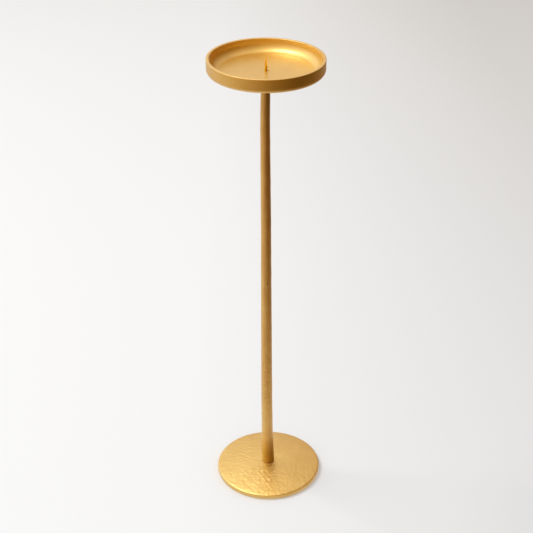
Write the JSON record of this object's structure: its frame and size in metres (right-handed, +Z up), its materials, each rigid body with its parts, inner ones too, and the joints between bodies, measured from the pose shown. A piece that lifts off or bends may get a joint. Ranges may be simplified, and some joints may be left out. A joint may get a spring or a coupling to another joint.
{
  "type": "pillar candle holder",
  "caption": "Tall metal pillar candle holder: turned pan with a candle spike, slender hammered stem and low domed round base with a felt pad.",
  "frame": {"origin": "on the surface that the holder stands on, under the middle of the base", "axes": "+Z up along the stem to the pan and the spike; +X and +Y are any two level directions, since the holder is round"},
  "size_m": [0.12, 0.12, 0.5152],
  "materials": {
    "gold_turned": "satin gold lacquer on turned iron, fine turning lines",
    "gold_hammered": "satin gold lacquer on hammered iron",
    "zinc_steel": "bright zinc plate",
    "felt": "dark pressed felt"
  },
  "bodies": {
    "root": {"pan": "gold_turned", "pricket": "gold_turned", "stem": "gold_hammered", "base_plate": "gold_hammered", "support_washer": "gold_turned", "base_screw": "zinc_steel", "spring_washer": "zinc_steel", "flat_washer": "zinc_steel", "felt_pad": "felt"}
  },
  "joints": []
}
